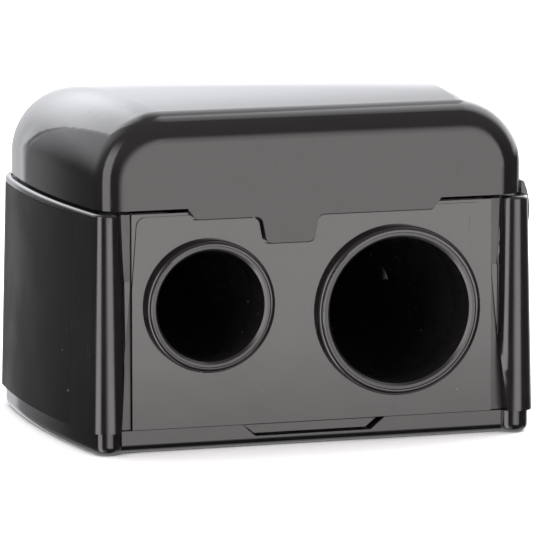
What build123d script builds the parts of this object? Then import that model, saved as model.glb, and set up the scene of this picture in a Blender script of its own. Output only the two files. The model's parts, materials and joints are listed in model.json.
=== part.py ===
from build123d import *

import os
from math import asin, atan2, degrees, hypot, sqrt

# Two-hole cosmetic pencil sharpener with a closed shavings box and a lid hinged at the back.
# Millimetres. X runs across the front, -Y is the side the pencils go in, +Z is up.
# The origin is on the table, under the middle of the box that the closed object fills.

# ---- plan of the body: bulging sides, round rear corners, a rounded post on each front corner ----
SIDE_HALF = 20.45                  # half the width at the widest point, at the sleeve's foot
SIDE_R = 90.0                      # radius of each bulging side
REAR_Y = 16.0                      # back face of the sleeve
CORNER_R = 8.2                     # rear corners
PLATE_Y = -15.4                    # front face of the front plate
MID_Y = PLATE_Y + 15.0             # where the sides are widest
POST_R = 1.6                       # each post stands a little proud of the front plate
POST_Y = PLATE_Y + 0.4
DRAFT = 1.4                        # the sleeve is this many degrees narrower towards the top

# ---- heights ----
SEAM_Z = 1.86                      # top of the base tray's band
SLEEVE_TOP = 19.9
PLATE_TOP = 19.68
LID_Z = 20.1                       # lower edge of the lid
LID_TOP = 28.3                     # highest point of the crowned lid
GAP = 0.05                         # clearance between moulded pieces

# ---- how far each shell is drawn in from the sleeve's outside ----
BASE_IN = 0.36
PAD_T = 0.35
SLEEVE_T = 0.9
HOUSING_IN = SLEEVE_T + GAP
HOUSING_FRONT = PLATE_Y + 0.35
HOUSING_T = 1.2
CAVITY_IN = HOUSING_IN + HOUSING_T
LID_IN = 0.95
LID_WALL = 1.2

# ---- front plate ----
PLATE_HALF = 15.55
PLATE_T = 1.5
PLATE_BACK = PLATE_Y + PLATE_T
FACE_STEP = 0.12                   # the polished face stands this far out of the plate's margin
FACE_TOP_HALF = 15.1
FACE_TOP_Z = 19.45
FACE_TAPER_Z = 13.5                # the face reaches the plate's full width here
FACE_CORNER_R = 0.8
COLLAR_EDGE_R = 0.38

# ---- base tray ----
FLOOR_TOP = 1.1
TRAY_EDGE_R = 0.7                  # rounding of the lower edge
TRAY_LIP_TOP = 2.9
TRAY_LIP_T = 0.9
CRADLE_DROP = 2.4                  # the cradles stop this far below the barrels' axes
CRADLE_HALF = 3.4
CRADLE_Y = (0.5, 1.9)

# ---- outer sleeve and grip pads ----
RIM_FILLET = 0.28
SLANT_TOP_Z = 13.4                 # the sleeve's front edges slope outwards below here
SLANT_X = 1.05                     # and are this much further apart, each, at the foot
POST_INNER = 15.69                 # inner edge of the flat strip beside each post
PAD_FRONT_Y = PLATE_Y + 4.1
PAD_REAR_X = 11.0
PAD_TOP = SLEEVE_TOP - 0.5
CATCH_Y, CATCH_LENGTH = PLATE_Y + 1.1, 3.2
CATCH_X = 18.58                    # inner face of the catch at its front end
CATCH_OUTLINE = ((0.2, 20.95), (0.66, 19.2), (0.52, 17.0))

# ---- housing, and the frame that the plate rests against ----
HOUSING_Z = SEAM_Z + 0.04
LEDGE_HALF = 15.15
FRONT_FRAME_BACK = PLATE_BACK + 1.2

# ---- lid ----
LID_FRONT = PLATE_Y - 0.6
LID_TOP_FILLET = 5.6
LID_FRONT_FILLET = 2.4
CROWN_R = 100.0                    # the top is curved from front to back
CROWN_Y = -4.8
TAB_FRONT = LID_FRONT + 0.06
TAB_BACK = PLATE_Y + 0.4
TAB_CLEARANCE = 0.16
WIDE_TAB_HALF = 10.95
WIDE_TAB_Z = 19.17
THUMB_TAB_X = (-4.6, 0.32)
THUMB_TAB_Z = 16.95
TAB_CORNER_R = 0.6
TAB_RISE = 0.9                     # the tabs are rooted this far up inside the lid
LIP_Z = 19.25                      # the lid's inner lip reaches down to here
LIP_T = 0.75
LIP_BACK_Y = 11.0                  # the lip stops here, clear of the hinge

# ---- hinge at the back ----
HINGE_Y = 15.6
HINGE_Z = 18.9
KNUCKLE_R = 1.0
PIN_R = 0.5
MIDDLE_KNUCKLE_HALF = 4.9
KNUCKLE_GAP = 0.12
HINGE_HALF = 9.0
RUNNING = 0.03

# ---- nail notch in the base, and the plate's tongue in it ----
NOTCH_TOP_HALF = 6.22
NOTCH_LOW_HALF = 5.0
NOTCH_Z = 0.86
TONGUE_SET_BACK = 0.7
TONGUE_GAP = 0.14
TONGUE_GROOVE = 0.2                # shadow groove between the plate's lower edge and the tongue

# ---- pencil barrels: their axes (x, z), radii of bore, rim and collar, and lengths of cone and blade ----
SMALL = {"x": -9.0, "z": 11.94, "bore": 4.6, "rim": 5.02, "collar": 5.5, "cone": 17.5, "blade": 17.5}
LARGE = {"x": 7.3, "z": 10.81, "bore": 6.1, "rim": 6.55, "collar": 7.08, "cone": 22.5, "blade": 22.5}
COLLAR_OUT = 0.9                   # how far each collar stands out of the plate
COLLAR_Y = PLATE_Y - COLLAR_OUT
RIM_SET_BACK = 0.1                 # the barrel's rim lies this far inside the collar
RIM_Y = COLLAR_Y + RIM_SET_BACK
BORE_LENGTH = 4.2                  # straight entry before the cone
TIP_R = 0.9
BARREL_WALL = 1.25
FLANGE_OUT = 0.6
FLANGE_T = 1.0
MOUTH_DEPTH = 0.35                 # how far the blade bed is cut below the top of the cone
BLADE_W, BLADE_T = 7.2, 0.6
BLADE_BEVEL, BLADE_LAND = 1.4, 0.08
BLADE_EDGE_X = 0.5                 # cutting edge, from the barrel's axis
SCREW_X = BLADE_EDGE_X + BLADE_W / 2
SCREW_R, SCREW_HEAD_R, SCREW_HEAD_T, SCREW_DEPTH = 0.9, 1.9, 0.8, 3.6
SCREW_SLOT_W, SCREW_SLOT_DEPTH, SCREW_SLOT_TURN = 0.55, 0.45, 35
BLADE_CORNER = 0.9
BED_W, BED_T = 7.7, 3.4            # the bed's shoulder reaches this far from the axis


# ---------------------------------------------------------------- plan outlines
def towards(start, end):
    """Unit vector from start to end, and the angle it makes with +X in degrees."""
    dx, dy = end[0] - start[0], end[1] - start[1]
    length = hypot(dx, dy)
    return (dx / length, dy / length), degrees(atan2(dy, dx))


SIDE_C = (SIDE_HALF - SIDE_R, MID_Y)
POST_C = (SIDE_C[0] + sqrt((SIDE_R - POST_R) ** 2 - (POST_Y - MID_Y) ** 2), POST_Y)
CORNER_CY = REAR_Y - CORNER_R
CORNER_C = (SIDE_C[0] + sqrt((SIDE_R - CORNER_R) ** 2 - (CORNER_CY - MID_Y) ** 2), CORNER_CY)


def side_x(y, inset):
    """X of the right side at y, drawn in by inset."""
    return SIDE_C[0] + sqrt((SIDE_R - inset) ** 2 - (y - MID_Y) ** 2)


def right_side(inset, front_angle):
    """The right side from front_angle (about the side's centre) round the rear corner, as two arcs."""
    _, corner_angle = towards(SIDE_C, CORNER_C)
    return [
        CenterArc(SIDE_C, SIDE_R - inset, front_angle, corner_angle - front_angle),
        CenterArc(CORNER_C, CORNER_R - inset, corner_angle, 90 - corner_angle),
    ]


def post_start(inset):
    """Angle, about the post's centre, where its inner flank meets the plate's front plane."""
    return -180 + degrees(asin((POST_Y - PLATE_Y) / (POST_R - inset)))


def right_half(inset, front_y=None):
    """Right half of the plan. With no front_y it starts where the post meets the plate's plane."""
    if front_y is None:
        _, post_angle = towards(SIDE_C, POST_C)
        start = post_start(inset)
        post = CenterArc(POST_C, POST_R - inset, start, post_angle - start)
        return [post, *right_side(inset, post_angle)]
    _, front_angle = towards(SIDE_C, (side_x(front_y, inset), front_y))
    return right_side(inset, front_angle)


def mirrored(edges):
    return [mirror(e, about=Plane.YZ) for e in edges]


def closed(edges):
    """A face from edges that meet end to end, in any order."""
    return Face(Wire.combine(edges)[0])


def plan(inset, front_y=None):
    """The whole plan, drawn in by inset: with posts, or cut straight across at front_y."""
    right = right_half(inset, front_y)
    start, end = right[0] @ 0, right[-1] @ 1
    front = Line((-start.X, start.Y), (start.X, start.Y))
    rear = Line((end.X, end.Y), (-end.X, end.Y))
    return closed([front, *right, rear, *mirrored(right)])


def prism(face, z0, z1):
    return Pos(0, 0, z0) * extrude(face, amount=z1 - z0, dir=(0, 0, 1))


def block(x0, x1, y0, y1, z0, z1):
    return Pos((x0 + x1) / 2, (y0 + y1) / 2, (z0 + z1) / 2) * Box(x1 - x0, y1 - y0, z1 - z0)


def front_panel(points, y0, y1):
    """A polygon drawn in the X-Z plane, given thickness from y0 to y1."""
    face = make_face(Polyline(*[(x, y0, z) for x, z in points], close=True))
    return extrude(face, amount=y1 - y0, dir=(0, 1, 0))


def rod(radius, x0, x1, y, z):
    """A cylinder along X."""
    return Pos((x0 + x1) / 2, y, z) * Rot(0, 90, 0) * Cylinder(radius, x1 - x0)


def edges_at(shape, axis, value, tolerance=0.01):
    return shape.edges().filter_by_position(axis, value - tolerance, value + tolerance)


# ---------------------------------------------------------------- base tray
def notch_points(clearance, top):
    """The nail notch seen from the front: wider at the top. clearance draws its lower edges in."""
    slope = (NOTCH_TOP_HALF - NOTCH_LOW_HALF) / (SEAM_Z - NOTCH_Z)
    low, low_half = NOTCH_Z + clearance, NOTCH_LOW_HALF - clearance * 0.6
    top_half = low_half + slope * (top - low)
    return [(-top_half, top), (-low_half, low), (low_half, low), (top_half, top)]


def base_tray():
    tray = prism(plan(BASE_IN), 0, SEAM_Z)
    tray = fillet(edges_at(tray, Axis.Z, 0), TRAY_EDGE_R)
    lip_front = FRONT_FRAME_BACK + GAP
    tray += prism(plan(CAVITY_IN + GAP, lip_front), FLOOR_TOP, TRAY_LIP_TOP)
    tray -= prism(plan(CAVITY_IN + GAP + TRAY_LIP_T, lip_front + TRAY_LIP_T), FLOOR_TOP, TRAY_LIP_TOP + 1)
    tray -= front_panel(notch_points(0, SEAM_Z + 1), PLATE_Y - 2, PLATE_BACK + GAP)
    for barrel in (SMALL, LARGE):
        tray += cradle(barrel)
    return tray


def cradle(barrel):
    """A rib on the tray's floor, hollowed to carry a barrel from below."""
    left, right = barrel["x"] - CRADLE_HALF, barrel["x"] + CRADLE_HALF
    rib = block(left, right, *CRADLE_Y, FLOOR_TOP, barrel["z"] - CRADLE_DROP)
    return rib - barrel_outside(barrel, GAP)


# ---------------------------------------------------------------- housing and sleeve
def hinge_ears():
    """The two outer knuckles and the webs that carry them."""
    ears = None
    for sign in (-1, 1):
        x0, x1 = MIDDLE_KNUCKLE_HALF + KNUCKLE_GAP, HINGE_HALF
        low, high = sorted((sign * x0, sign * x1))
        web = block(low, high, REAR_Y - CAVITY_IN + 0.2, HINGE_Y, HINGE_Z - KNUCKLE_R, HINGE_Z + KNUCKLE_R)
        ear = web + rod(KNUCKLE_R, low, high, HINGE_Y, HINGE_Z)
        ears = ear if ears is None else ears + ear
    return ears


def hinge_pocket(half):
    """Space cleared at the back for the lid's knuckle and its swing."""
    return block(-half, half, REAR_Y - 4, REAR_Y + 3, HINGE_Z - KNUCKLE_R - 0.15, SLEEVE_TOP + 1)


def housing():
    body = prism(plan(HOUSING_IN, HOUSING_FRONT), HOUSING_Z, PLATE_TOP)
    body -= prism(plan(CAVITY_IN, FRONT_FRAME_BACK), 0, LID_TOP)
    body -= block(-PLATE_HALF - GAP, PLATE_HALF + GAP, PLATE_Y - 2, PLATE_BACK + GAP, 0, LID_TOP)
    body -= block(-LEDGE_HALF, LEDGE_HALF, PLATE_Y - 2, FRONT_FRAME_BACK + 0.5, 0, LID_TOP)
    body -= hinge_pocket(MIDDLE_KNUCKLE_HALF + KNUCKLE_GAP)
    body += hinge_ears()
    body -= rod(PIN_R, -HINGE_HALF - 1, HINGE_HALF + 1, HINGE_Y, HINGE_Z)
    return body


def pad_region(clearance):
    """Where the two grip pads lie: the sides and rear corners, between the front strip and the hinge."""
    region = None
    for sign in (-1, 1):
        low, high = sorted((sign * (PAD_REAR_X + clearance), sign * 30))
        side = block(low, high, PAD_FRONT_Y + clearance, 30, SEAM_Z, PAD_TOP - clearance)
        region = side if region is None else region + side
    return region


def drafted(inset):
    """The solid inside the sleeve's outside, drawn in by inset and narrower towards the top."""
    face = Pos(0, 0, HOUSING_Z) * plan(inset)
    return extrude(face, amount=SLEEVE_TOP - HOUSING_Z, dir=(0, 0, 1), taper=DRAFT)


def post_inner(z):
    """X of the sleeve's inner front edge: upright at the top, sloping outwards towards the foot."""
    return POST_INNER + max(0, SLANT_TOP_Z - z) / (SLANT_TOP_Z - HOUSING_Z) * SLANT_X


def side_catch():
    """A springy lug that stands up from the sleeve's right rim, beside the lid, and bulges outwards."""
    bulge = ThreePointArc(*CATCH_OUTLINE)
    (_, high), (_, low) = CATCH_OUTLINE[0], CATCH_OUTLINE[-1]
    back = Polyline(bulge @ 1, (0, low), (0, high), bulge @ 0)
    profile = Plane.XZ * make_face(bulge + back)
    _, lean = towards(SIDE_C, (side_x(CATCH_Y, 0), CATCH_Y))
    lug = extrude(profile, amount=CATCH_LENGTH, dir=(0, 1, 0))
    return Pos(CATCH_X, CATCH_Y, 0) * Rot(0, 0, lean) * lug


def outer_sleeve():
    sleeve = drafted(0)
    sleeve = fillet(edges_at(sleeve, Axis.Z, SLEEVE_TOP), RIM_FILLET)
    sleeve -= prism(plan(SLEEVE_T, HOUSING_FRONT - GAP), 0, LID_TOP)
    top, foot = post_inner(SLANT_TOP_Z), post_inner(HOUSING_Z)
    opening = [(-top, LID_TOP), (-top, SLANT_TOP_Z), (-foot, HOUSING_Z), (-foot, 0),
               (foot, 0), (foot, HOUSING_Z), (top, SLANT_TOP_Z), (top, LID_TOP)]
    sleeve -= front_panel(opening, PLATE_Y - 5, HOUSING_FRONT + 1)
    sleeve += side_catch()
    sleeve -= (drafted(-0.5) - drafted(PAD_T)) & pad_region(0)
    sleeve -= hinge_pocket(HINGE_HALF + KNUCKLE_GAP)
    return sleeve


def grip_pad(sign):
    pads = (drafted(0) - drafted(PAD_T - 0.02)) & pad_region(0.04)
    return pads.solids().sort_by(Axis.X)[0 if sign < 0 else -1]


# ---------------------------------------------------------------- front plate
def tab_points(grow):
    """Outline of the lid's wide tab and thumb tab seen from the front, grown outwards by grow."""
    left, right = THUMB_TAB_X
    top = LID_Z + 1.4
    side_slope, thumb_slope = 0.7, 0.42
    return [
        (-WIDE_TAB_HALF - grow - side_slope * 0.2, top),
        (-WIDE_TAB_HALF - grow, LID_Z),
        (-WIDE_TAB_HALF + side_slope - grow, WIDE_TAB_Z - grow),
        (left - grow, WIDE_TAB_Z - grow),
        (left + thumb_slope - grow, THUMB_TAB_Z - grow),
        (right - thumb_slope + grow, THUMB_TAB_Z - grow),
        (right + grow, WIDE_TAB_Z - grow),
        (WIDE_TAB_HALF - side_slope + grow, WIDE_TAB_Z - grow),
        (WIDE_TAB_HALF + grow, LID_Z),
        (WIDE_TAB_HALF + grow + side_slope * 0.2, top),
    ]


def tab_solid(grow, y0, y1):
    """The tabs' outline given thickness, its lower corners rounded."""
    tabs = front_panel(tab_points(grow), y0, y1)
    corners = [e for e in tabs.edges().filter_by(Axis.Y) if e.center().Z < LID_Z - 0.2]
    return fillet(corners, TAB_CORNER_R)


def front_plate():
    plate = block(-PLATE_HALF, PLATE_HALF, PLATE_Y + FACE_STEP, PLATE_BACK, HOUSING_Z, PLATE_TOP)
    face_points = [(-PLATE_HALF, HOUSING_Z), (PLATE_HALF, HOUSING_Z), (PLATE_HALF, FACE_TAPER_Z),
                   (FACE_TOP_HALF, FACE_TOP_Z), (-FACE_TOP_HALF, FACE_TOP_Z), (-PLATE_HALF, FACE_TAPER_Z)]
    face = front_panel(face_points, PLATE_Y, PLATE_Y + FACE_STEP + 0.5)
    top_corners = [e for e in face.edges().filter_by(Axis.Y) if e.center().Z > FACE_TOP_Z - 0.1]
    plate += fillet(top_corners, FACE_CORNER_R)
    tongue_points = notch_points(TONGUE_GAP, HOUSING_Z + 0.5)
    plate += front_panel(tongue_points, PLATE_Y + TONGUE_SET_BACK, PLATE_BACK - GAP)
    plate -= block(-NOTCH_TOP_HALF, NOTCH_TOP_HALF, PLATE_Y - 1, PLATE_BACK - 0.4,
                   HOUSING_Z - TONGUE_GROOVE, HOUSING_Z)
    for barrel in (SMALL, LARGE):
        plate += collar(barrel)
        hole = Cylinder(barrel["rim"] + GAP, 20, rotation=(90, 0, 0))
        plate -= Pos(barrel["x"], PLATE_Y, barrel["z"]) * hole
    plate -= tab_solid(TAB_CLEARANCE, PLATE_Y - 1, TAB_BACK + 0.1)
    return plate


# ---------------------------------------------------------------- barrels, blades and screws
def cone_start():
    return RIM_Y + BORE_LENGTH


def half_angle(barrel):
    return atan2(barrel["bore"] - TIP_R, barrel["cone"])


def turned(points, barrel):
    """Turns a half-profile of (radius, y) points about the barrel's axis."""
    face = make_face(Polyline(*points, close=True))
    return Pos(barrel["x"], 0, barrel["z"]) * revolve(face, axis=Axis.Y)


def outside_points(barrel, clearance):
    """Half-profile of the outside: the rim inside the plate's collar, a flange and a tapering body."""
    flange = PLATE_BACK + GAP
    body_r = barrel["bore"] + BARREL_WALL + clearance
    return [
        (barrel["rim"] + clearance, RIM_Y - clearance),
        (barrel["rim"] + clearance, flange - clearance),
        (barrel["collar"] + FLANGE_OUT + clearance, flange - clearance),
        (barrel["collar"] + FLANGE_OUT + clearance, flange + FLANGE_T + clearance),
        (body_r, flange + FLANGE_T + clearance),
        (body_r, cone_start()),
        (TIP_R + BARREL_WALL + clearance, cone_start() + barrel["cone"] + clearance),
    ]


def inside_points(barrel):
    """Half-profile of the inside, from the tip of the cone out to the rounded rim."""
    rim = 0.2
    return [
        (TIP_R, cone_start() + barrel["cone"]),
        (barrel["bore"], cone_start()),
        (barrel["bore"], RIM_Y + rim),
        (barrel["bore"] + rim, RIM_Y),
    ]


def barrel_outside(barrel, clearance=0.0):
    """The barrel's outside as a full solid, with no bore in it."""
    points = outside_points(barrel, clearance)
    return turned([(0, points[0][1]), *points, (0, points[-1][1])], barrel)


def barrel_bore(barrel):
    """The space inside the barrel."""
    points = inside_points(barrel)
    return turned([(0, points[0][1]), *points, (0, points[-1][1])], barrel)


def collar(barrel):
    """The rounded collar that stands out of the plate, before its hole is cut."""
    ring = turned([(0, COLLAR_Y), (barrel["collar"], COLLAR_Y), (barrel["collar"], PLATE_Y + 0.5),
                   (0, PLATE_Y + 0.5)], barrel)
    return fillet(edges_at(ring, Axis.Y, COLLAR_Y), COLLAR_EDGE_R)


def on_bed(barrel, shape):
    """Moves a shape drawn on the X-Y plane onto the blade bed, its origin to the front of the cone's top."""
    top = barrel["z"] + barrel["bore"] - MOUTH_DEPTH
    return Pos(barrel["x"], cone_start(), top) * Rot(-degrees(half_angle(barrel)), 0, 0) * shape


def blade_middle(barrel):
    """Distance along the bed from the start of the cone to the blade's hole."""
    return barrel["blade"] / 2 + 0.5


def barrel_solid(barrel):
    length = barrel["cone"] - 1.5
    shoulder = Pos(BED_W / 2, length / 2, -BED_T / 2) * Box(BED_W, length, BED_T)
    tube = turned([*outside_points(barrel, 0), *inside_points(barrel)], barrel)
    solid = tube + (on_bed(barrel, shoulder) - barrel_bore(barrel))
    solid -= on_bed(barrel, block(-20, 20, 0, 50, 0, 20))
    hole = Pos(SCREW_X, blade_middle(barrel), -SCREW_DEPTH / 2 + 0.5) * Cylinder(SCREW_R, SCREW_DEPTH + 1.2)
    solid -= on_bed(barrel, hole)
    return solid


def blade(barrel):
    """A ground steel blade: bevelled along its cutting edge, with cut-off corners and one hole."""
    section = [(0, 0), (BLADE_W, 0), (BLADE_W, BLADE_T), (BLADE_BEVEL, BLADE_T), (0, BLADE_LAND)]
    steel = front_panel(section, -barrel["blade"] / 2, barrel["blade"] / 2)
    corners = [e for e in steel.edges().filter_by(Axis.Z) if e.center().X > BLADE_W / 2]
    steel = chamfer(corners, BLADE_CORNER)
    steel -= Pos(BLADE_W / 2, 0, 0) * Cylinder(SCREW_R + 0.15, 3)
    return on_bed(barrel, Pos(BLADE_EDGE_X, blade_middle(barrel), 0.02) * steel)


def blade_screw(barrel):
    """A slotted round-head screw, square to the blade."""
    head = Pos(0, 0, SCREW_HEAD_T / 2) * Cylinder(SCREW_HEAD_R, SCREW_HEAD_T)
    head = fillet(edges_at(head, Axis.Z, SCREW_HEAD_T), 0.3)
    shank = Pos(0, 0, -SCREW_DEPTH / 2) * Cylinder(SCREW_R - GAP, SCREW_DEPTH)
    slot = Pos(0, 0, SCREW_HEAD_T) * Box(SCREW_SLOT_W, 3 * SCREW_HEAD_R, 2 * SCREW_SLOT_DEPTH)
    screw = head + shank - Rot(0, 0, SCREW_SLOT_TURN) * slot
    return on_bed(barrel, Pos(SCREW_X, blade_middle(barrel), BLADE_T + 0.03) * screw)


# ---------------------------------------------------------------- lid and hinge pin
def dome(inset, front_y, top_drop, top_fillet, front_fillet, z0):
    """A crowned dome on the body's plan: round over the sides and back, crisper at the front."""
    solid = prism(plan(inset, front_y), z0, LID_TOP + 5)
    crown = Pos(0, CROWN_Y, LID_TOP - top_drop - CROWN_R) * Rot(0, 90, 0) * Cylinder(CROWN_R, 100)
    solid = solid & crown
    top_face = solid.faces().sort_by(Axis.Z)[-1]
    round_over = [e for e in top_face.edges() if e.center().Y > front_y + 0.1]
    solid = fillet(round_over, top_fillet)
    front_face = solid.faces().sort_by(Axis.Y)[0]
    front_edges = [e for e in front_face.edges() if e.center().Z > z0 + 0.1]
    return fillet(front_edges, front_fillet)


def lid_lip():
    """The lip inside the lid that drops behind the housing's front frame and inside its walls."""
    upper = prism(plan(LID_IN + LID_WALL - 0.2, LID_FRONT + LID_WALL - 0.2), LID_Z + 0.1, LID_Z + 1.2)
    lower = prism(plan(CAVITY_IN + 0.15, FRONT_FRAME_BACK + 0.15), LIP_Z, LID_Z + 0.2)
    hollow = prism(plan(CAVITY_IN + 0.15 + LIP_T, FRONT_FRAME_BACK + 0.15 + LIP_T), LIP_Z - 1, LID_Z + 3)
    return upper + lower - hollow - block(-30, 30, LIP_BACK_Y, 30, 0, 40)


def lid():
    shell = dome(LID_IN, LID_FRONT, 0, LID_TOP_FILLET, LID_FRONT_FILLET, LID_Z)
    shell -= dome(LID_IN + LID_WALL, LID_FRONT + LID_WALL, LID_WALL, LID_TOP_FILLET - LID_WALL,
                  LID_FRONT_FILLET - LID_WALL, LID_Z - 1)
    shell += lid_lip()
    shell += tab_solid(0, TAB_FRONT, TAB_BACK) & block(-30, 30, -30, 0, 0, LID_Z + TAB_RISE)
    knuckle = rod(KNUCKLE_R, -MIDDLE_KNUCKLE_HALF, MIDDLE_KNUCKLE_HALF, HINGE_Y, HINGE_Z)
    half = MIDDLE_KNUCKLE_HALF
    web = block(-half, half, HINGE_Y - KNUCKLE_R, REAR_Y - LID_IN, HINGE_Z, LID_Z + 0.6)
    shell += knuckle + web
    return shell - rod(PIN_R + RUNNING, -20, 20, HINGE_Y, HINGE_Z)


def hinge_pin():
    pin = rod(PIN_R - 0.01, -HINGE_HALF + 0.1, HINGE_HALF - 0.1, HINGE_Y, HINGE_Z)
    return chamfer(pin.edges().filter_by(GeomType.CIRCLE), 0.12)


# ---------------------------------------------------------------- write every piece
def main():
    pieces = {
        "base_tray": base_tray(),
        "housing": housing(),
        "outer_sleeve": outer_sleeve(),
        "grip_pad_left": grip_pad(-1),
        "grip_pad_right": grip_pad(1),
        "front_plate": front_plate(),
        "small_barrel": barrel_solid(SMALL),
        "large_barrel": barrel_solid(LARGE),
        "small_blade": blade(SMALL),
        "large_blade": blade(LARGE),
        "blade_screws": Compound(children=[blade_screw(SMALL), blade_screw(LARGE)]),
        "lid": lid(),
        "hinge_pin": hinge_pin(),
    }
    os.makedirs("parts", exist_ok=True)
    for name, shape in pieces.items():
        export_step(shape, f"parts/{name}.step")


main()
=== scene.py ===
import json
import math

import bpy
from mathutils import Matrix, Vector

# The looks of a glossy black two-hole pencil sharpener: materials on the CAD nodes, a studio and a camera.
# Metres, in the frame of the CAD model: X across the front, -Y out of the pencil holes, +Z up.

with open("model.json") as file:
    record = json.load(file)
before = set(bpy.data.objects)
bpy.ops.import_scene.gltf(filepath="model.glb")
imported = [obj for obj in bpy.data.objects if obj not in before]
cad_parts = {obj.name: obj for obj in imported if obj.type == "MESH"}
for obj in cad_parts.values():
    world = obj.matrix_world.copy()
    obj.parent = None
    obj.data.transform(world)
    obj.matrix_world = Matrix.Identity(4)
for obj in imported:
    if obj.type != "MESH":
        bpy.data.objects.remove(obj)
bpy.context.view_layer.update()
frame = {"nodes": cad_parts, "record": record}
MM = 0.001

# ---- black plastic ----
BLACK = (0.0092, 0.0085, 0.0088)
DUST = (0.16, 0.15, 0.14, 1)
PLASTIC_IOR = 1.5
DUST_SPACING, DUST_RADIUS = 0.9 * MM, 0.11 * MM
DUST_ROUGHNESS = 0.6               # added where there is dust
SCRATCH_ROUGHNESS = 0.18           # added along the hairlines
SCRATCH_DEPTH = 0.001 * MM
SCRATCH_TURNS = (0.4, 1.7)         # the hairlines run in two directions
SCRATCH_SQUEEZE = 40.0             # the hairlines are this many times longer than wide
SCRATCH_SCALE, SCRATCH_PATCH_SCALE = 260.0, 170.0
CLOUD_SCALE, WAVE_SCALE = 140.0, 220.0

# ---- steel ----
STEEL_STRETCH = 0.04               # the grinding lines are drawn out by its inverse
STEEL_LINE_SCALE, STEEL_STAIN_SCALE = 9000.0, 500.0
STEEL_LINE_DEPTH = 0.002 * MM
STEEL_STAIN_ROUGHNESS = 0.08

# ---- studio and camera: the angles are in degrees, azimuth 0 is in front and 90 to the right ----
FLOOR_HALF, FLOOR_GREY = 40.0, 0.86
SKY_MINIMUM = 0.02
WARM_FRONT, COOL_BACK = (1.04, 0.985, 0.985, 1), (0.985, 0.995, 1.03, 1)
SOFTBOX_SIZE, SOFTBOX_ENERGY, SOFTBOX_PLACE = 1.2, 14.0, (0.0, 0.1, 1.1)
VIEW_AZIMUTH, VIEW_ELEVATION = -17.8, 8.78
VIEW_TARGET, VIEW_DISTANCE = (-3.0, -12.1, 14.4), 469.0
LENS, SENSOR = 383.5, 36.0


# ---------------------------------------------------------------- node helpers
def new_material(name):
    material = bpy.data.materials.new(name)
    material.use_nodes = True
    tree = material.node_tree
    return material, tree, tree.nodes["Principled BSDF"]


def node(tree, kind, inputs=None, **settings):
    """Adds a node, sets its properties, and sets or links its inputs."""
    made = tree.nodes.new(kind)
    for key, value in settings.items():
        setattr(made, key, value)
    for key, value in (inputs or {}).items():
        if isinstance(value, bpy.types.NodeSocket):
            tree.links.new(value, made.inputs[key])
        else:
            made.inputs[key].default_value = value
    return made


def math_node(tree, operation, a, b=0.0, c=0.0):
    return node(tree, "ShaderNodeMath", {0: a, 1: b, 2: c}, operation=operation).outputs[0]


def smooth_step(tree, value, start, end, low=0.0, high=1.0):
    """low where value is below start, high where it is above end, and smooth between."""
    inputs = {"Value": value, "From Min": start, "From Max": end, "To Min": low, "To Max": high}
    return node(tree, "ShaderNodeMapRange", inputs, interpolation_type="SMOOTHSTEP").outputs["Result"]


# ---------------------------------------------------------------- materials
def bump(tree, height, distance, normal=None):
    """A bump that adds to the normal it is given."""
    inputs = {"Height": height, "Distance": distance, "Strength": 1.0}
    if normal:
        inputs["Normal"] = normal
    return node(tree, "ShaderNodeBump", inputs).outputs["Normal"]


def scratches(tree, place, turn, amount):
    """A mask of a few long hairline scratches that run one way. amount is how many there are, 0 to 1."""
    stretch = {"Vector": place, "Rotation": (0.3, turn, 0.5), "Scale": (SCRATCH_SQUEEZE, SCRATCH_SQUEEZE, 1.0)}
    along = node(tree, "ShaderNodeMapping", stretch).outputs["Vector"]
    streaky = {"Vector": along, "Scale": SCRATCH_SCALE, "Detail": 2.0}
    lines = node(tree, "ShaderNodeTexNoise", streaky).outputs["Fac"]
    fine = smooth_step(tree, lines, 0.71 - 0.05 * amount, 0.75 - 0.05 * amount)
    patchy = {"Vector": place, "Scale": SCRATCH_PATCH_SCALE}
    patches = node(tree, "ShaderNodeTexNoise", patchy).outputs["Fac"]
    return math_node(tree, "MULTIPLY", fine, smooth_step(tree, patches, 0.5, 0.6))


def specks(tree, place, spacing, size, share):
    """A mask of scattered round specks of dust: share of the cells, spacing apart, hold one."""
    cells = node(tree, "ShaderNodeTexVoronoi", {"Vector": place, "Scale": 1 / spacing, "Randomness": 1.0})
    near = smooth_step(tree, cells.outputs["Distance"], size * 0.6 / spacing, size / spacing, 1.0, 0.0)
    chosen = node(tree, "ShaderNodeSeparateColor", {"Color": cells.outputs["Color"]}).outputs[0]
    return math_node(tree, "MULTIPLY", near, math_node(tree, "LESS_THAN", chosen, share))


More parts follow.
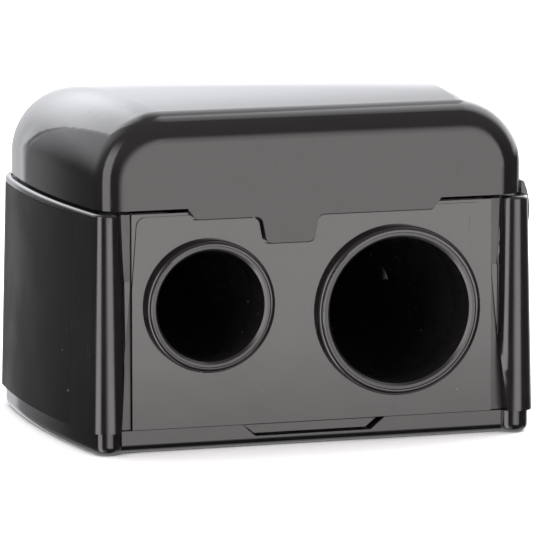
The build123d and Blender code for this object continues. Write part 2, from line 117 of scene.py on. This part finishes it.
def plastic(name, roughness, specular, grain, wave=0.004, wear=0.2, dust=0.03):
    """Black moulded plastic: cloudy tone and gloss, a grain (size and depth in mm), slow moulding waves,
    hairline scratches and specks of dust."""
    material, tree, shader = new_material(name)
    place = node(tree, "ShaderNodeTexCoord").outputs["Object"]
    cloudy = {"Vector": place, "Scale": CLOUD_SCALE, "Detail": 4.0}
    cloud = node(tree, "ShaderNodeTexNoise", cloudy).outputs["Fac"]
    dark, light = ([tone * share for tone in BLACK] + [1] for share in (0.7, 1.3))
    tone = node(tree, "ShaderNodeMix", {"Factor": cloud, "A": dark, "B": light}, data_type="RGBA")
    one_way, other_way = (scratches(tree, place, turn, wear) for turn in SCRATCH_TURNS)
    hairlines = math_node(tree, "MAXIMUM", one_way, other_way)
    dusty = specks(tree, place, DUST_SPACING, DUST_RADIUS, dust)
    coloured = node(tree, "ShaderNodeMix", {"Factor": dusty, "A": tone.outputs["Result"], "B": DUST},
                    data_type="RGBA")
    tree.links.new(coloured.outputs["Result"], shader.inputs["Base Color"])
    gloss = smooth_step(tree, cloud, 0.3, 0.7, roughness * 0.85, roughness * 1.15)
    rubbed = math_node(tree, "MULTIPLY_ADD", hairlines, SCRATCH_ROUGHNESS, gloss)
    dulled = math_node(tree, "MULTIPLY_ADD", dusty, DUST_ROUGHNESS, rubbed)
    tree.links.new(dulled, shader.inputs["Roughness"])
    size, depth = grain
    wavy = {"Vector": place, "Scale": WAVE_SCALE, "Detail": 1.0}
    waves = node(tree, "ShaderNodeTexNoise", wavy).outputs["Fac"]
    normal = bump(tree, waves, wave * MM)
    pits = node(tree, "ShaderNodeTexNoise", {"Vector": place, "Scale": 1 / (size * MM), "Detail": 2.0})
    normal = bump(tree, pits.outputs["Fac"], depth * MM, normal)
    normal = bump(tree, hairlines, -SCRATCH_DEPTH, normal)
    tree.links.new(normal, shader.inputs["Normal"])
    shader.inputs["IOR"].default_value = PLASTIC_IOR
    shader.inputs["Specular IOR Level"].default_value = specular
    return material


def steel(name, colour, roughness, direction):
    """Ground or drawn steel: fine lines along direction, cloudy tone, and faint stains."""
    material, tree, shader = new_material(name)
    place = node(tree, "ShaderNodeTexCoord").outputs["Object"]
    squeeze = [STEEL_STRETCH if axis == direction else 1.0 for axis in "XYZ"]
    stretched = node(tree, "ShaderNodeMapping", {"Vector": place, "Scale": squeeze}).outputs["Vector"]
    lines = node(tree, "ShaderNodeTexNoise", {"Vector": stretched, "Scale": STEEL_LINE_SCALE}).outputs["Fac"]
    stained = {"Vector": place, "Scale": STEEL_STAIN_SCALE, "Detail": 4.0}
    stain = node(tree, "ShaderNodeTexNoise", stained).outputs["Fac"]
    dark, light = ([tone * share for tone in colour] + [1] for share in (0.75, 1.1))
    tone = node(tree, "ShaderNodeMix", {"Factor": stain, "A": dark, "B": light}, data_type="RGBA")
    tree.links.new(tone.outputs["Result"], shader.inputs["Base Color"])
    rough = smooth_step(tree, lines, 0.3, 0.7, roughness * 0.7, roughness * 1.3)
    duller = math_node(tree, "MULTIPLY_ADD", stain, STEEL_STAIN_ROUGHNESS, rough)
    tree.links.new(duller, shader.inputs["Roughness"])
    tree.links.new(bump(tree, lines, STEEL_LINE_DEPTH), shader.inputs["Normal"])
    shader.inputs["Metallic"].default_value = 1.0
    return material


MATERIALS = {
    "smooth_plastic": plastic("smooth_black_plastic", 0.1, 0.45, (0.12, 0.0006)),
    "inner_plastic": plastic("inner_black_plastic", 0.34, 0.6, (0.09, 0.004)),
    "sleeve_plastic": plastic("sleeve_black_plastic", 0.17, 0.5, (0.12, 0.0006), wave=0.0015),
    "grip_plastic": plastic("grained_black_plastic", 0.38, 0.04, (0.11, 0.009), wear=0.0, dust=0.05),
    "plate_plastic": plastic("plate_black_plastic", 0.06, 0.5, (0.12, 0.0006)),
    "barrel_plastic": plastic("barrel_black_plastic", 0.25, 0.5, (0.12, 0.001), dust=0.06),
    "lid_plastic": plastic("lid_black_plastic", 0.05, 0.35, (0.12, 0.0002), wave=0.002, dust=0.015),
    "blade_steel": steel("ground_blade_steel", (0.6, 0.6, 0.6), 0.25, "Y"),
    "screw_steel": steel("plated_screw_steel", (0.55, 0.55, 0.53), 0.3, "X"),
    "pin_steel": steel("drawn_pin_steel", (0.5, 0.5, 0.5), 0.3, "X"),
}
for part in frame["record"]["subparts"]:
    frame["nodes"][part["node"]].material_slots[0].material = MATERIALS[part["material_slot"]]


# ---------------------------------------------------------------- studio
def make_floor():
    """A pale plane. It doesn't show in glossy reflections, where the world's lower half shows instead."""
    half = FLOOR_HALF
    mesh = bpy.data.meshes.new("floor")
    corners = [(-half, -half, 0), (half, -half, 0), (half, half, 0), (-half, half, 0)]
    mesh.from_pydata(corners, [], [(0, 1, 2, 3)])
    floor = bpy.data.objects.new("floor", mesh)
    bpy.context.scene.collection.objects.link(floor)
    material, _, shader = new_material("pale_floor")
    shader.inputs["Base Color"].default_value = (FLOOR_GREY, FLOOR_GREY, FLOOR_GREY, 1)
    shader.inputs["Roughness"].default_value = 0.9
    mesh.materials.append(material)
    floor.visible_glossy = False


def window(tree, value, low, high, soft_low, soft_high):
    """1 between low and high, fading to 0 over soft_low below and soft_high above."""
    rise = smooth_step(tree, value, low - soft_low, low)
    return smooth_step(tree, value, high, high + soft_high, rise, 0.0)


def card(tree, sky, azimuths, elevations, softness, strength, lean=0.0, tilt=0.0):
    """A soft-edged panel of light in the world. A panel that goes past 180 is measured from behind. softness is
    how far it fades beyond its left and right sides, its foot and its top. lean slants its sides, and tilt its
    foot and top. A negative strength shades."""
    behind = max(azimuths) > 180
    azimuth = sky["behind"] if behind else sky["azimuth"]
    offset = 180 if behind else 0
    start, end = (math.radians(a - offset) for a in azimuths)
    foot, top = (math.radians(e) for e in elevations)
    soft = [math.radians(angle) for angle in softness]
    slanted = math_node(tree, "MULTIPLY_ADD", sky["elevation"], lean, azimuth)
    tilted = math_node(tree, "MULTIPLY_ADD", azimuth, tilt, sky["elevation"])
    across = window(tree, slanted, start, end, soft[0], soft[1])
    upright = window(tree, tilted, foot, top, soft[2], soft[3])
    return math_node(tree, "MULTIPLY", math_node(tree, "MULTIPLY", across, upright), strength)


CARDS = (
    # a large panel in front, a little to the right, shaded below
    {"azimuths": (5, 27), "elevations": (-10, -6), "softness": (30, 14, 25, 28), "strength": 4.55},
    {"azimuths": (-10, 60), "elevations": (-80, -11.8), "softness": (20, 10, 1, 0.25), "strength": -1.6,
     "tilt": -0.1},
    # a narrow panel on the left
    {"azimuths": (-80, -57), "elevations": (-50, 22), "softness": (10, 10, 15, 30), "strength": 4.8},
    # a backdrop behind: its right-hand part, as seen by the object's front, ends in a slanting edge
    {"azimuths": (130, 192), "elevations": (-14, 40), "softness": (20, 3, 10, 35), "strength": 1.2,
     "lean": -0.4},
    {"azimuths": (168, 192), "elevations": (24, 50), "softness": (16, 3, 22, 30), "strength": 2.0,
     "lean": -0.4},
    {"azimuths": (192.4, 193.4), "elevations": (-2, 30), "softness": (0.6, 0.6, 6, 6), "strength": -0.9,
     "lean": -0.4},
    # beyond that edge it is dimmer, and fades towards the table
    {"azimuths": (195, 220), "elevations": (17, 40), "softness": (3, 30, 22, 35), "strength": 1.2,
     "lean": -0.4},
    {"azimuths": (190, 194), "elevations": (-30, 0), "softness": (3, 20, 10, 10), "strength": 0.35},
    # a bright panel behind and to the right, brighter still in its right-hand half
    {"azimuths": (105, 160.5), "elevations": (4, 60), "softness": (20, 4, 6, 30), "strength": 2.6,
     "lean": 0.33},
    {"azimuths": (100, 140), "elevations": (15, 60), "softness": (10, 15, 10, 20), "strength": 1.5},
)


def make_world():
    """Soft studio light: the cards, a dim sky that brightens upwards, and a pale glow from straight below."""
    world = bpy.data.worlds.new("studio")
    bpy.context.scene.world = world
    world.use_nodes = True
    tree = world.node_tree
    direction = node(tree, "ShaderNodeTexCoord").outputs["Generated"]
    x, y, z = node(tree, "ShaderNodeSeparateXYZ", {0: direction}).outputs
    sky = {
        "azimuth": math_node(tree, "ARCTAN2", x, math_node(tree, "MULTIPLY", y, -1.0)),
        "behind": math_node(tree, "ARCTAN2", math_node(tree, "MULTIPLY", x, -1.0), y),
        "elevation": math_node(tree, "ARCSINE", z),
    }
    above = smooth_step(tree, z, -0.1, 0.5, 0.05, 0.45)
    light = math_node(tree, "ADD", above, smooth_step(tree, z, -0.9, -0.3, 1.2, 0.0))
    for settings in CARDS:
        light = math_node(tree, "ADD", light, card(tree, sky, **settings))
    background = tree.nodes["Background"]
    tree.links.new(math_node(tree, "MAXIMUM", light, SKY_MINIMUM), background.inputs["Strength"])
    front_to_back = smooth_step(tree, y, -0.4, 0.4)
    sides = {"Factor": front_to_back, "A": WARM_FRONT, "B": COOL_BACK}
    tint = node(tree, "ShaderNodeMix", sides, data_type="RGBA")
    tree.links.new(tint.outputs["Result"], background.inputs["Color"])


def make_top_light():
    """A wide overhead softbox that whitens the floor. It leaves no reflection of its own."""
    data = bpy.data.lights.new("overhead", "AREA")
    data.size = SOFTBOX_SIZE
    data.energy = SOFTBOX_ENERGY
    light = bpy.data.objects.new("overhead", data)
    light.location = SOFTBOX_PLACE
    light.visible_glossy = False
    bpy.context.scene.collection.objects.link(light)


def make_camera():
    """A long lens from a little left of the front and a little above."""
    azimuth, elevation = math.radians(VIEW_AZIMUTH), math.radians(VIEW_ELEVATION)
    back = Vector((math.sin(azimuth) * math.cos(elevation), -math.cos(azimuth) * math.cos(elevation),
                   math.sin(elevation)))
    data = bpy.data.cameras.new("camera")
    data.sensor_width = SENSOR
    data.lens = LENS
    data.clip_start, data.clip_end = 0.01, 100.0
    camera = bpy.data.objects.new("camera", data)
    bpy.context.scene.collection.objects.link(camera)
    camera.location = (Vector(VIEW_TARGET) + back * VIEW_DISTANCE) * MM
    camera.rotation_euler = (-back).to_track_quat("-Z", "Y").to_euler()
    bpy.context.scene.camera = camera


make_floor()
make_world()
make_top_light()
make_camera()
bpy.context.scene.view_settings.view_transform = "Standard"
